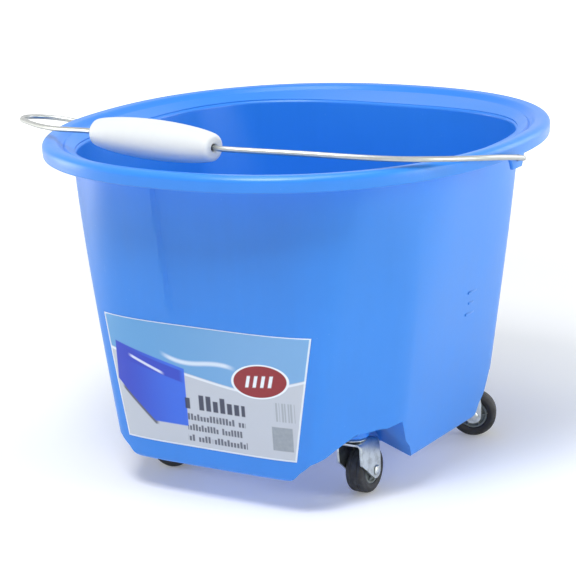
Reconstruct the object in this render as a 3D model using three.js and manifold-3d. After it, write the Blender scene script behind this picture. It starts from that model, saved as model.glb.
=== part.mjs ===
// Wheeled cleaning bucket: a moulded tub on four swivel casters, with a wire bail and a loose hand grip.
// Millimetres, +Z up. The origin is the middle of the tub's flat underside. +X runs towards the
// right-hand bail pivot and -Y is the labelled front.

import * as THREE from 'three';
import { mergeVertices } from 'three/addons/utils/BufferGeometryUtils.js';
import Module from 'manifold-3d';

const wasm = await Module();
wasm.setup();

// ---- driving dimensions ---------------------------------------------------------------------------

const FIT_GAP = 0.35;

// Tub: every level is a superellipse, squarer at the base than at the mouth.
const WALL = 3;
const BASE_HALF = { x: 126.2, y: 146, power: 4.7 };
const SHOULDER_HALF = { x: 162.8, y: 160.3, power: 2.92 };
const SHOULDER_Z = 231;
const FLOOR_Z = 3.5;
const HEEL_RADIUS = 4;
const WALL_LEVELS = [17, 41.75, 66.5, 91.25, 116, 154, 193];

// Rim: a rolled bead with a hanging skirt outside and a sloping ledge inside.
const RIM_HALF = { x: 194, y: 202, power: 2.22 };
const RIM_TOP = 245;
const SKIRT_BOTTOM = 232.5;
const SKIRT_THICKNESS = 3;
const BEAD_WIDTH = 15;
const GROOVE_DEPTH = 4.5;
const WEB_UNDERSIDE = 239;
const LEDGE_BOTTOM = 235;

// Corner facets: flat planes that lean in towards the base, with their normals this far from the X axis.
const FACET_ANGLE = 30.7;
const FACET_BASE = 146.3;
const FACET_SHOULDER = 179.1;

// Caster notches under the facets: their roofs rise outwards. Each corner of the opening is given as
// (sideways across the facet, height at the back, height at the facet). A pad hangs down round the stem.
const STEM_AT = { x: 93, y: 85 };
const NOTCH_PROFILE = [
  [-88, -1, -1], [-77, 11, 15], [-54.5, 24, 25], [-25, 24, 33], [2, 24, 36], [14, 10, 11], [19, -1, -1],
];
const NOTCH_INNER = 87.5;
const NOTCH_FACET = 150;
const NOTCH_OUTER = 210;
const PAD = { radius: 11.5, bottom: 23.2, top: 40 };
const SOCKET_RADIUS = 8.5;
const SOCKET_TOP = 45;

// Casters.
const WHEEL_RADIUS = 19;
const GROUND_Z = -27.5;
const AXLE_Z = GROUND_Z + WHEEL_RADIUS;
const TRAIL = 15;
const TREAD_WIDTH = 16;
const HUB_RADIUS = 11.5;
const AXLE_RADIUS = 2.2;
const FORK_GAP = 18;
const FORK_SHEET = 1.8;
const CROWN_Z = 18;
const RACEWAY = { bottom: 20.2, top: 22.8, radius: 10 };
const STEM_RADIUS = 4;
const STEM_TOP = 41;
const CASTERS = [
  { name: 'front_right', side: [1, -1], heading: 91 },
  { name: 'rear_right', side: [1, 1], heading: 24 },
  { name: 'rear_left', side: [-1, 1], heading: 48 },
  { name: 'front_left', side: [-1, -1], heading: 6 },
];

// Bail: its ends turn in the skirt on one axis along X.
const PIVOT_Z = 231.5;
const WIRE_RADIUS = 2.2;
const PIVOT_HOLE_RADIUS = 2.8;
const EAR = { width: 26, bottom: 223.5, thickness: 3 };
const HOOK_LENGTH = 9;

// Grip: a turned sleeve, loose on the straight middle of the wire.
const GRIP_LENGTH = 122;
const GRIP_RADIUS = 15;
const GRIP_END_RADIUS = 9;
const GRIP_CENTRE = new THREE.Vector3(-25, -162.5, 260);
const GRIP_YAW = 170;

// Label on the front panel.
const LABEL = { bottom: 17, top: 116, halfBottom: 77, halfTop: 94, gap: 0.45, thickness: 0.25 };

const AROUND = 80;

// ---- finishes -------------------------------------------------------------------------------------

const finish = (color, roughness, metalness = 0) =>
  new THREE.MeshStandardMaterial({ color, roughness, metalness });

const BLUE = finish(0x4a8ce0, 0.38);
const PAPER = finish(0xe4ebf2, 0.5);
const ZINC = finish(0xc3cccd, 0.32, 0.9);
const WIRE = finish(0xc9ced1, 0.22, 1);
const WHITE = finish(0xdcdce0, 0.45);
const RUBBER = finish(0x15161a, 0.6);
const HUB = finish(0x6c7678, 0.5);

// ---- small helpers --------------------------------------------------------------------------------

const model = new THREE.Group();
const lerp = THREE.MathUtils.lerp;
const radians = THREE.MathUtils.degToRad;

function add(name, geometry, material, parent = model) {
  const mesh = new THREE.Mesh(geometry, material);
  mesh.name = name;
  parent.add(mesh);
  return mesh;
}

/** Closed geometry to a manifold-3d solid. */
function toSolid(geometry) {
  const bare = geometry.clone();
  bare.deleteAttribute('normal');
  bare.deleteAttribute('uv');
  const merged = mergeVertices(bare, 1e-4);
  return new wasm.Manifold(new wasm.Mesh({
    numProp: 3,
    vertProperties: new Float32Array(merged.attributes.position.array),
    triVerts: new Uint32Array(merged.index.array),
  }));
}

/** A manifold-3d solid back to a geometry. */
function toGeometry(solid) {
  const mesh = solid.getMesh();
  const geometry = new THREE.BufferGeometry();
  geometry.setAttribute('position', new THREE.BufferAttribute(mesh.vertProperties, 3));
  geometry.setIndex(new THREE.BufferAttribute(mesh.triVerts, 1));
  geometry.computeVertexNormals();
  return geometry;
}

/** A closed skin through rings of points listed upwards, counter-clockwise, with flat end caps. */
function loft(rings) {
  const count = rings[0].length;
  const points = rings.flat();
  const middle = (ring) => ring
    .reduce((sum, p) => sum.add(p), new THREE.Vector3())
    .divideScalar(count);
  const first = points.push(middle(rings[0])) - 1;
  const last = points.push(middle(rings[rings.length - 1])) - 1;
  const index = [];
  const top = (rings.length - 1) * count;
  for (let j = 0; j < count; j += 1) {
    const k = (j + 1) % count;
    index.push(first, k, j, last, top + j, top + k);
    for (let i = 0; i < top; i += count) {
      index.push(i + j, i + k, i + count + k, i + j, i + count + k, i + count + j);
    }
  }
  const geometry = new THREE.BufferGeometry().setFromPoints(points);
  geometry.setIndex(index);
  return geometry;
}

/** A turned solid about Z from [radius, height] points that start and end on the axis. */
function turned(points, segments) {
  const profile = points.map(([r, z]) => new THREE.Vector2(r, z));
  return new THREE.LatheGeometry(profile, segments).rotateX(Math.PI / 2);
}

/** A round bar about Z between two heights. */
function bar(radius, bottom, top, segments = 20) {
  return turned([[0, bottom], [radius, bottom], [radius, top], [0, top]], segments);
}

/** An outline in (across, up) pushed along a third direction, centred on it. */
function plate(outline, thickness) {
  const shape = new THREE.Shape(outline.map(([a, b]) => new THREE.Vector2(a, b)));
  return new THREE.ExtrudeGeometry(shape, { depth: thickness, bevelEnabled: false, steps: 1 })
    .translate(0, 0, -thickness / 2);
}

// ---- tub ------------------------------------------------------------------------------------------

function superRadius(angle, half) {
  const c = Math.abs(Math.cos(angle) / half.x) ** half.power;
  const s = Math.abs(Math.sin(angle) / half.y) ** half.power;
  return (c + s) ** (-1 / half.power);
}

function wallHalf(z) {
  const k = z / SHOULDER_Z;
  return {
    x: lerp(BASE_HALF.x, SHOULDER_HALF.x, k),
    y: lerp(BASE_HALF.y, SHOULDER_HALF.y, k),
    power: lerp(BASE_HALF.power, SHOULDER_HALF.power, k),
  };
}

/** Outer wall: the superellipse at this height, cut by the nearest corner facet. */
function wallRadius(angle, z) {
  const facetTurn = Math.atan2(
    Math.abs(Math.sin(angle)), Math.abs(Math.cos(angle)),
  ) - radians(FACET_ANGLE);
  const facet = lerp(FACET_BASE, FACET_SHOULDER, z / SHOULDER_Z) / Math.cos(facetTurn);
  return Math.min(superRadius(angle, wallHalf(z)), facet);
}

function ring(z, radiusAt) {
  return Array.from({ length: AROUND }, (_, j) => {
    const angle = (2 * Math.PI * (j + 0.5)) / AROUND;
    const r = radiusAt(angle);
    return new THREE.Vector3(r * Math.cos(angle), r * Math.sin(angle), z);
  });
}

const wallRing = (z, inset = 0) => ring(z, (angle) => wallRadius(angle, z) - inset);

const rimRing = (z, inset) => ring(z, (angle) => superRadius(angle, {
  x: RIM_HALF.x - inset, y: RIM_HALF.y - inset, power: RIM_HALF.power,
}));

function tubOutside() {
  return loft([
    wallRing(0, HEEL_RADIUS),
    wallRing(HEEL_RADIUS * 0.3, HEEL_RADIUS * 0.3),
    wallRing(HEEL_RADIUS),
    ...WALL_LEVELS.map((z) => wallRing(z)),
    wallRing(SHOULDER_Z),
    rimRing(WEB_UNDERSIDE, SKIRT_THICKNESS),
    rimRing(SKIRT_BOTTOM, SKIRT_THICKNESS),
    rimRing(SKIRT_BOTTOM, 0.4),
    rimRing(RIM_TOP - 5, 0),
    rimRing(RIM_TOP - 1.8, 1.6),
    rimRing(RIM_TOP, 5.5),
    rimRing(RIM_TOP - 0.6, BEAD_WIDTH - 4),
    rimRing(RIM_TOP - GROOVE_DEPTH, BEAD_WIDTH + 1),
    wallRing(LEDGE_BOTTOM, WALL),
  ]);
}

function tubCavity() {
  return loft([
    wallRing(FLOOR_Z, WALL + HEEL_RADIUS),
    wallRing(FLOOR_Z + HEEL_RADIUS, WALL),
    ...WALL_LEVELS.map((z) => wallRing(z, WALL)),
    wallRing(LEDGE_BOTTOM, WALL),
    ring(RIM_TOP + 5, (angle) => wallRadius(angle, LEDGE_BOTTOM) - WALL),
  ]);
}

/** Turns a corner shape made for the right rear of the tub onto the corner with these signs. */
function toCorner(solid, [sideX, sideY]) {
  const plan = sideX * sideY > 0 ? solid : solid.mirror([0, 1, 0]);
  return sideX > 0 ? plan : plan.rotate([0, 0, 180]);
}

/** The tapered block that clears a caster, grown by the wall's thickness for the inside of the tub. */
function notch(grow) {
  const ringAt = (distance) => NOTCH_PROFILE.map(([sideways, back, front]) => {
    const outwards = (distance - NOTCH_INNER) / (NOTCH_FACET - NOTCH_INNER);
    const across = sideways + Math.sign(sideways - NOTCH_PROFILE[3][0]) * grow;
    return new THREE.Vector3(-across, lerp(back, front, outwards) + (back > 0 ? grow : -grow), distance);
  });
  const block = loft([ringAt(NOTCH_INNER - grow), ringAt(NOTCH_OUTER)])
    .rotateX(Math.PI / 2)
    .rotateZ(Math.PI / 2 + radians(FACET_ANGLE));
  return toSolid(block);
}

/** The part of the notch that is open: the block without the pad round the stem. */
function openNotch() {
  const pad = toSolid(bar(PAD.radius, PAD.bottom, PAD.top, 32).translate(STEM_AT.x, STEM_AT.y, 0));
  return notch(0).subtract(pad);
}

/** The boss that holds a caster's stem, and the blind hole in it. */
function socket(radius, top) {
  return toSolid(bar(radius, 1, top).translate(STEM_AT.x, STEM_AT.y, 0));
}

/** A tab under the skirt at one end of the bail's axis. */
function ear(side) {
  const half = EAR.width / 2;
  const outline = [
    [-half, SKIRT_BOTTOM + 3], [-half * 0.6, EAR.bottom], [half * 0.6, EAR.bottom], [half, SKIRT_BOTTOM + 3],
  ];
  const tab = plate(outline, EAR.thickness).rotateX(Math.PI / 2).rotateZ(Math.PI / 2);
  return toSolid(tab.translate(side * (RIM_HALF.x - EAR.thickness / 2 - 0.4), 0, 0));
}

function pivotHole(side) {
  const hole = bar(PIVOT_HOLE_RADIUS, -8, 8, 16).rotateY(Math.PI / 2);
  return toSolid(hole.translate(side * (RIM_HALF.x - 2), 0, PIVOT_Z));
}

function tub() {
  const corners = CASTERS.map(({ side }) => side);
  let outside = toSolid(tubOutside());
  let cavity = toSolid(tubCavity());
  for (const side of [1, -1]) outside = outside.add(ear(side));
  for (const corner of corners) {
    cavity = cavity.subtract(toCorner(notch(WALL), corner));
    cavity = cavity.subtract(toCorner(socket(SOCKET_RADIUS, SOCKET_TOP), corner));
  }
  let body = outside.subtract(cavity);
  for (const corner of corners) {
    body = body.subtract(toCorner(openNotch(), corner));
    body = body.subtract(toCorner(socket(STEM_RADIUS + FIT_GAP, STEM_TOP + FIT_GAP), corner));
  }
  for (const side of [1, -1]) body = body.subtract(pivotHole(side));
  return toGeometry(body);
}

// ---- label ----------------------------------------------------------------------------------------

/** A thin curved sheet on the front panel, as wide as the panel is between its two facets. */
function label() {
  const columns = 16;
  const levels = WALL_LEVELS.filter((z) => z >= LABEL.bottom && z <= LABEL.top);
  const row = (z, gap) => Array.from({ length: columns + 1 }, (_, i) => {
    const k = (z - LABEL.bottom) / (LABEL.top - LABEL.bottom);
    const x = lerp(LABEL.halfBottom, LABEL.halfTop, k) * ((2 * i) / columns - 1);
    const half = wallHalf(z);
    const y = half.y * (1 - Math.abs(x / half.x) ** half.power) ** (1 / half.power);
    return new THREE.Vector3(x, -y - gap, z);
  });
  const sections = levels.map((z) => [
    ...row(z, LABEL.gap + LABEL.thickness),
    ...row(z, LABEL.gap).reverse(),
  ]);
  return strip(sections);
}

/** A closed skin through long thin sections, with its first and last section filled as strips. */
function strip(sections) {
  const count = sections[0].length;
  const index = [];
  for (let i = 0; i < (sections.length - 1) * count; i += count) {
    for (let j = 0; j < count; j += 1) {
      const k = (j + 1) % count;
      index.push(i + j, i + k, i + count + k, i + j, i + count + k, i + count + j);
    }
  }
  const top = (sections.length - 1) * count;
  for (let j = 0; j < count / 2 - 1; j += 1) {
    const [a, b, c, d] = [j, j + 1, count - 2 - j, count - 1 - j];
    index.push(a, c, b, a, d, c);
    index.push(top + a, top + b, top + c, top + a, top + c, top + d);
  }
  const geometry = new THREE.BufferGeometry().setFromPoints(sections.flat());
  geometry.setIndex(index);
  return geometry;
}

// ---- bail and grip --------------------------------------------------------------------------------

/** The wire's middle line: hooked behind each ear, over the rim in front, and straight in the grip. */
function wireLine() {
  const along = new THREE.Vector3(Math.cos(radians(GRIP_YAW)), Math.sin(radians(GRIP_YAW)), 0);
  const onGrip = (distance) => GRIP_CENTRE.clone().addScaledVector(along, distance);
  const half = GRIP_LENGTH / 2;
  const inside = RIM_HALF.x - SKIRT_THICKNESS - 5.5;
  const right = [
    [inside, HOOK_LENGTH, PIVOT_Z], [inside, 4, PIVOT_Z], [inside + 3, 0.6, PIVOT_Z], [RIM_HALF.x, 0, PIVOT_Z],
    [199, -2, 232], [200.5, -10, 234], [198.6, -39, 239.5], [193.5, -65, 243.5], [179, -96, 247.6],
    [159, -121, 250.8], [137, -140, 254], [98, -158, 257.4],
  ].map(([x, y, z]) => new THREE.Vector3(x, y, z));
  const left = [
    [-142, -128, 254.5], [-175, -107, 250.8], [-210, -79, 247], [-235, -55, 243.6], [-247, -33, 241],
    [-243, -17, 238.6], [-229, -5, 235.5], [-211, -0.8, 232.6], [-RIM_HALF.x, 0, PIVOT_Z],
    [-inside - 3, 0.6, PIVOT_Z], [-inside, 4, PIVOT_Z], [-inside, HOOK_LENGTH, PIVOT_Z],
  ].map(([x, y, z]) => new THREE.Vector3(x, y, z));
  const middle = [-half - 8, -half, 0, half, half + 8].map(onGrip);
  return new THREE.CatmullRomCurve3([...right, ...middle, ...left], false, 'centripetal');
}

function roundSection(radius, sides) {
  const points = Array.from({ length: sides }, (_, i) => {
    const angle = (2 * Math.PI * i) / sides;
    return new THREE.Vector2(radius * Math.cos(angle), radius * Math.sin(angle));
  });
  return new THREE.Shape(points);
}

function bailWire() {
  return new THREE.ExtrudeGeometry(roundSection(WIRE_RADIUS, 8), {
    steps: 110, bevelEnabled: false, extrudePath: wireLine(),
  });
}

function gripSleeve() {
  const half = GRIP_LENGTH / 2;
  const bore = WIRE_RADIUS + 0.6;
  const swell = (k) => lerp(GRIP_END_RADIUS, GRIP_RADIUS, Math.sin(Math.PI * k) ** 0.55);
  const outer = Array.from({ length: 13 }, (_, i) => [swell(i / 12), lerp(-half, half, i / 12)]);
  const profile = [[bore, -half], ...outer, [bore, half], [bore, -half]];
  return turned(profile, 24)
    .rotateY(Math.PI / 2)
    .rotateZ(radians(GRIP_YAW))
    .translate(GRIP_CENTRE.x, GRIP_CENTRE.y, GRIP_CENTRE.z);
}

// ---- casters --------------------------------------------------------------------------------------
// Each caster is built about its own stem, which stands on Z. It trails along +X, with its axle along Y.

function stem() {
  return turned([
    [0, CROWN_Z - 1.6], [5.4, CROWN_Z - 1.6], [5.4, CROWN_Z - FIT_GAP], [STEM_RADIUS - 0.4, CROWN_Z - FIT_GAP],
    [STEM_RADIUS - 0.4, RACEWAY.top], [STEM_RADIUS, RACEWAY.top + 1], [STEM_RADIUS, STEM_TOP - 2],
    [STEM_RADIUS - 1.6, STEM_TOP], [0, STEM_TOP],
  ], 20);
}

function raceway() {
  const bore = STEM_RADIUS - 0.05;
  const { bottom, top, radius } = RACEWAY;
  return turned([
    [bore, bottom], [radius, bottom], [radius, bottom + 1], [radius - 3, top], [bore, top], [bore, bottom],
  ], 20);
}

/** Pressed fork: a crown plate, and a cheek on each side that narrows down to the axle. */
function fork() {
  const cheekLine = [
    [-9, CROWN_Z + FORK_SHEET], [-8, 2], [TRAIL - 7, AXLE_Z - 3], [TRAIL - 4.5, AXLE_Z - 5.5],
    [TRAIL, AXLE_Z - 6.6], [TRAIL + 4.5, AXLE_Z - 5.5], [TRAIL + 6.6, AXLE_Z - 1],
    [TRAIL + 7, 3], [TRAIL + 5, CROWN_Z + FORK_SHEET],
  ];
  const cheekAt = (FORK_GAP + FORK_SHEET) / 2;
  const cheek = (side) => plate(cheekLine, FORK_SHEET).rotateX(Math.PI / 2).translate(0, side * cheekAt, 0);
  const width = FORK_GAP + 2 * FORK_SHEET;
  const crown = new THREE.BoxGeometry(TRAIL + 14, width, FORK_SHEET)
    .translate((TRAIL - 4) / 2, 0, CROWN_Z + FORK_SHEET / 2);
  const stemHole = bar(STEM_RADIUS, CROWN_Z - 2, CROWN_Z + 4, 20);
  const axleHole = bar(AXLE_RADIUS + FIT_GAP, -20, 20, 16).rotateX(Math.PI / 2).translate(TRAIL, 0, AXLE_Z);
  return toGeometry(toSolid(cheek(1))
    .add(toSolid(cheek(-1)))
    .add(toSolid(crown))
    .subtract(toSolid(stemHole))
    .subtract(toSolid(axleHole)));
}

/** Riveted axle with a domed head outside each cheek. */
function axle() {
  const face = FORK_GAP / 2 + FORK_SHEET + FIT_GAP;
  return turned([
    [0, -face - 1.5], [3, -face - 1.2], [4, -face], [AXLE_RADIUS, -face],
    [AXLE_RADIUS, face], [4, face], [3, face + 1.2], [0, face + 1.5],
  ], 16).rotateX(Math.PI / 2).translate(TRAIL, 0, AXLE_Z);
}

function wheelPart(profile, segments) {
  return turned([...profile, profile[0]], segments).rotateX(Math.PI / 2).translate(TRAIL, 0, AXLE_Z);
}

function hub() {
  const half = TREAD_WIDTH / 2;
  const bore = AXLE_RADIUS + FIT_GAP;
  return wheelPart([
    [bore, -half], [5, -half], [6, -half + 2.4], [9.5, -half + 2.4], [HUB_RADIUS, -half + 1],
    [HUB_RADIUS, half - 1], [9.5, half - 2.4], [6, half - 2.4], [5, half], [bore, half],
  ], 20);
}

function tyre() {
  const half = TREAD_WIDTH / 2;
  const inner = HUB_RADIUS + FIT_GAP;
  return wheelPart([
    [inner, -half + 0.8], [15.5, -half], [17.6, -half + 1], [WHEEL_RADIUS, -half + 3.4],
    [WHEEL_RADIUS, half - 3.4], [17.6, half - 1], [15.5, half], [inner, half - 0.8],
  ], 28);
}

function caster({ name, side, heading }) {
  const group = new THREE.Group();
  group.position.set(side[0] * STEM_AT.x, side[1] * STEM_AT.y, 0);
  group.rotation.z = radians(heading);
  add(`stem_${name}`, stem(), ZINC, group);
  add(`raceway_${name}`, raceway(), ZINC, group);
  add(`fork_${name}`, fork(), ZINC, group);
  add(`axle_${name}`, axle(), ZINC, group);
  add(`hub_${name}`, hub(), HUB, group);
  add(`tyre_${name}`, tyre(), RUBBER, group);
  model.add(group);
}

// ---- assembly -------------------------------------------------------------------------------------

add('bucket_body', tub(), BLUE);
add('product_label', label(), PAPER);
add('bail_wire', bailWire(), WIRE);
add('bail_grip', gripSleeve(), WHITE);
CASTERS.forEach(caster);

export default model;
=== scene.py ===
"""Looks of a wheeled cleaning bucket: a moulded tub on four swivel casters, a wire bail and a loose grip.

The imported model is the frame. Every piece built here stands for one CAD node, in the same place, and rides
on the same body. Shapes are worked out in millimetres as whole numpy arrays and put into meshes in metres.
The origin is the middle of the tub's flat underside, +X runs to the right-hand bail pivot, and -Y is the
labelled front.
"""

import logging
import math
from dataclasses import dataclass, field
from enum import Enum
from typing import Callable, Iterable, Sequence, Union

import bmesh
import bpy
import numpy as np
from mathutils import Matrix, Vector


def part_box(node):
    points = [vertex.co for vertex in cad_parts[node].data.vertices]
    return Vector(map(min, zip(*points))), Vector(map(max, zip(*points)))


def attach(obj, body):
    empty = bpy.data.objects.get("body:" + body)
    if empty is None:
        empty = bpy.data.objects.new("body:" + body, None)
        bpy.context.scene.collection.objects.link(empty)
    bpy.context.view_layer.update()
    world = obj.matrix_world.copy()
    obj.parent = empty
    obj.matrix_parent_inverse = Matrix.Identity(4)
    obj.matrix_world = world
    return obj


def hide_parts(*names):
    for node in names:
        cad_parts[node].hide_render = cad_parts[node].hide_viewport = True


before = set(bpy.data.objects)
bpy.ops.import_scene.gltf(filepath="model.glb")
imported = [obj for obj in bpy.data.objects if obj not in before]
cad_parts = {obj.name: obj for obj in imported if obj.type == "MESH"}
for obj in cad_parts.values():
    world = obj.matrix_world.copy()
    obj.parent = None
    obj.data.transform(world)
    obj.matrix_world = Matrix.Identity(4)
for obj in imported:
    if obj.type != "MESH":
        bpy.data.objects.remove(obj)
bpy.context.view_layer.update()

log = logging.getLogger("bucket")

MM = 0.001
TAU = 2 * math.pi
Array = np.ndarray
Number = Union[float, "Signal"]
Colour = tuple[float, float, float]


# ---- helpers for sizes and arrays --------------------------------------------------------------------

def box_mm(node: str) -> tuple[Array, Array]:
    """Lowest and highest corner of a CAD node at rest, in millimetres."""
    low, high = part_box(node)
    return np.array(low) / MM, np.array(high) / MM


def srgb(red: int, green: int, blue: int) -> Colour:
    """A display colour, 0 to 255 a channel, as linear light."""
    def linear(value: float) -> float:
        """One channel, 0 to 1, from display to linear."""
        return value / 12.92 if value <= 0.04045 else ((value + 0.055) / 1.055) ** 2.4
    return linear(red / 255), linear(green / 255), linear(blue / 255)


def smooth(low: float, high: float, values: Array) -> Array:
    """0 below low, 1 above high, and 3t^2 - 2t^3 between them."""
    t = np.clip((values - low) / (high - low), 0.0, 1.0)
    return t * t * (3 - 2 * t)


def soft_min(a: Array, b: Array, width: float) -> Array:
    """The lesser of two arrays, rounded off by a parabola where they are within width of each other."""
    h = np.clip(0.5 + 0.5 * (b - a) / width, 0.0, 1.0)
    return b + (a - b) * h - width * h * (1 - h)


def arc(centre: tuple[float, float], radius: float, start: float, end: float, count: int) -> Array:
    """Points on a circle in a plane, from one angle to another in degrees, as (count, 2)."""
    angle = np.radians(np.linspace(start, end, count))
    return np.stack([centre[0] + radius * np.cos(angle), centre[1] + radius * np.sin(angle)], axis=1)


def densify(points: Sequence[Sequence[float]], step: float) -> Array:
    """A broken line with extra points, none further apart than step, keeping its corners."""
    line = np.asarray(points, dtype=float)
    length = np.linalg.norm(np.diff(line, axis=0), axis=1)
    parts = np.maximum(1, np.ceil(length / step)).astype(int)
    pieces = [np.linspace(a, b, n, endpoint=False) for a, b, n in zip(line[:-1], line[1:], parts)]
    return np.vstack([*pieces, line[-1:]])


# ---- meshes ------------------------------------------------------------------------------------------

def make_object(name: str, points: Array, quads: Array, triangles: Array,
                uv: Array | None = None) -> bpy.types.Object:
    """Puts vertices and faces into a new mesh object, turned right side out.

    Args:
        name: the object's name.
        points: vertices in millimetres, (n, 3).
        quads: vertex numbers of the four-sided faces, (m, 4).
        triangles: vertex numbers of the three-sided faces, (k, 3).
        uv: a position on the flat map for every corner of every face, quads first, or None.

    Returns:
        The linked object, at the origin.
    """
    a, b, c = (points[quads[:, i]] for i in range(3))
    d = points[quads[:, 3]]
    volume = np.einsum("ij,ij->", a, np.cross(b, c)) + np.einsum("ij,ij->", a, np.cross(c, d))
    if len(triangles):
        p, q, r = (points[triangles[:, i]] for i in range(3))
        volume += np.einsum("ij,ij->", p, np.cross(q, r))
    closed = len(triangles) > 0 or uv is None
    flip = closed and volume < 0
    if flip:
        quads, triangles = quads[:, ::-1], triangles[:, ::-1]
    mesh = bpy.data.meshes.new(name)
    loops = np.concatenate([quads.ravel(), triangles.ravel()]).astype(np.int32)
    starts = np.concatenate([
        np.arange(len(quads)) * 4, len(quads) * 4 + np.arange(len(triangles)) * 3,
    ]).astype(np.int32)
    mesh.vertices.add(len(points))
    mesh.vertices.foreach_set("co", (points * MM).astype(np.float32).ravel())
    mesh.loops.add(len(loops))
    mesh.loops.foreach_set("vertex_index", loops)
    mesh.polygons.add(len(starts))
    mesh.polygons.foreach_set("loop_start", starts)
    if uv is not None:
        layer = mesh.uv_layers.new(name="surface")
        corners = uv.copy()
        if flip:
            count = len(quads) * 4
            corners[:count] = uv[:count].reshape(-1, 4, 2)[:, ::-1].reshape(-1, 2)
            corners[count:] = uv[count:].reshape(-1, 3, 2)[:, ::-1].reshape(-1, 2)
        layer.data.foreach_set("uv", corners.astype(np.float32).ravel())
    mesh.update(calc_edges=True)
    mesh.validate()
    obj = bpy.data.objects.new(name, mesh)
    bpy.context.scene.collection.objects.link(obj)
    return obj


class Ends(Enum):
    """What closes the two ends of a skin that runs round a loop."""

    OPEN = "open"
    FANS = "a point in the middle of each end ring"
    JOINED = "the last ring joins the first"


def skin(name: str, rows: Array, ends: Ends, round_columns: bool = True) -> bpy.types.Object:
    """A grid of points, rows by columns, as a mesh.

    The columns run round and close on themselves unless round_columns is false. The map runs 0 to 1 along
    the rows and 0 to 1 along the columns.

    Args:
        name: the object's name.
        rows: points in millimetres, (rows, columns, 3).
        ends: how the first and last row are closed.
        round_columns: whether the last column joins the first.

    Returns:
        The linked object.
    """
    count, width = rows.shape[:2]
    wrap_rows = ends is Ends.JOINED
    i = np.arange(count if wrap_rows else count - 1)
    j = np.arange(width if round_columns else width - 1)
    ii, jj = np.meshgrid(i, j, indexing="ij")
    next_i, next_j = (ii + 1) % count, (jj + 1) % width
    quads = np.stack([ii * width + jj, ii * width + next_j, next_i * width + next_j, next_i * width + jj],
                     axis=-1)
    points = rows.reshape(-1, 3)
    across = len(j)
    along = len(i)
    u = np.stack([jj, jj + 1, jj + 1, jj], axis=-1) / across
    v = np.stack([ii, ii, ii + 1, ii + 1], axis=-1) / along
    uv = np.stack([u, v], axis=-1).reshape(-1, 2)
    triangles = np.zeros((0, 3), dtype=int)
    if ends is Ends.FANS:
        middles = np.stack([rows[0].mean(axis=0), rows[-1].mean(axis=0)])
        points = np.vstack([points, middles])
        k = np.arange(width)
        n = (k + 1) % width
        base = count * width
        last = (count - 1) * width
        low = np.stack([np.full(width, base), n, k], axis=1)
        high = np.stack([np.full(width, base + 1), last + k, last + n], axis=1)
        triangles = np.vstack([low, high])
        fan = np.stack([np.stack([(k + 0.5) / width, n * 0.0], 1), np.stack([(k + 1) / width, n * 0.0], 1),
                        np.stack([k / width, n * 0.0], 1)], axis=1)
        top = fan[:, [0, 2, 1]].copy()
        top[..., 1] = 1.0
        uv = np.vstack([uv, fan.reshape(-1, 2), top.reshape(-1, 2)])
    return make_object(name, points, quads.reshape(-1, 4), triangles, uv)


def turned(name: str, profile: Array, columns: int, wave: Callable[[Array, Array], Array] | None = None,
           joined: bool = True) -> bpy.types.Object:
    """A turned piece about Z: the profile's (radius, height) points carried round the axis.

    Args:
        name: the object's name.
        profile: (n, 2) radius and height in millimetres.
        columns: how many steps go round.
        wave: moves of (profile point, angle) in height, added to each point, or None.
        joined: True for a profile that closes on itself, False for one that starts and ends near the axis.

    Returns:
        The linked object.
    """
    angle = TAU * np.arange(columns) / columns
    radius, height = profile[:, :1], profile[:, 1:]
    z = height + (wave(np.arange(len(profile))[:, None], angle[None, :]) if wave else 0 * angle[None, :])
    rows = np.stack([radius * np.cos(angle), radius * np.sin(angle), z], axis=-1)
    return skin(name, rows, Ends.JOINED if joined else Ends.FANS)


def place(obj: bpy.types.Object, matrix: Matrix) -> bpy.types.Object:
    """Moves the mesh's own points by a matrix in metres; the object stays at the origin."""
    obj.data.transform(matrix)
    obj.data.update()
    return obj


def shade_smooth(obj: bpy.types.Object, angle: float = 32.0) -> None:
    """Smooth faces, with edges kept sharp where two faces meet at more than this angle in degrees."""
    mesh = obj.data
    mesh.polygons.foreach_set("use_smooth", np.ones(len(mesh.polygons), dtype=bool))
    mesh.set_sharp_from_angle(angle=math.radians(angle))
    mesh.update()


class Cut(Enum):
    """How a second solid changes the first."""

    ADD = "UNION"
    TAKE = "DIFFERENCE"


def combine(target: bpy.types.Object, tool: bpy.types.Object, cut: Cut) -> None:
    """Joins tool to target or cuts it out of target, and removes the tool."""
    step = target.modifiers.new("cut", "BOOLEAN")
    step.solver, step.operation, step.object = "MANIFOLD", cut.value, tool
    result = bpy.data.meshes.new_from_object(target.evaluated_get(bpy.context.evaluated_depsgraph_get()))
    target.modifiers.clear()
    old = target.data
    target.data = result
    bpy.data.meshes.remove(old)
    bpy.data.objects.remove(tool)


def prism(name: str, outline: Array, thickness: float, bevel: float = 0.0) -> bpy.types.Object:
    """An outline in X and Y, counter-clockwise, raised about its middle plane, with rounded edges."""
    count = len(outline)
    flat = np.zeros((2, count, 3))
    flat[..., :2] = outline
    flat[0, :, 2], flat[1, :, 2] = -thickness / 2, thickness / 2
    k = np.arange(count)
    quads = np.stack([k, (k + 1) % count, (k + 1) % count + count, k + count], axis=1)
    obj = make_object(name, flat.reshape(-1, 3), quads, np.zeros((0, 3), dtype=int))
    mesh = obj.data
    work = bmesh.new()
    work.from_mesh(mesh)
    bmesh.ops.contextual_create(work, geom=[e for e in work.edges if e.is_boundary and e.verts[0].co.z < 0])
    bmesh.ops.contextual_create(work, geom=[e for e in work.edges if e.is_boundary])
    bmesh.ops.recalc_face_normals(work, faces=work.faces)
    work.to_mesh(mesh)
    work.free()
    if bevel:
        round_edges(obj, bevel)
    return obj


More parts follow.
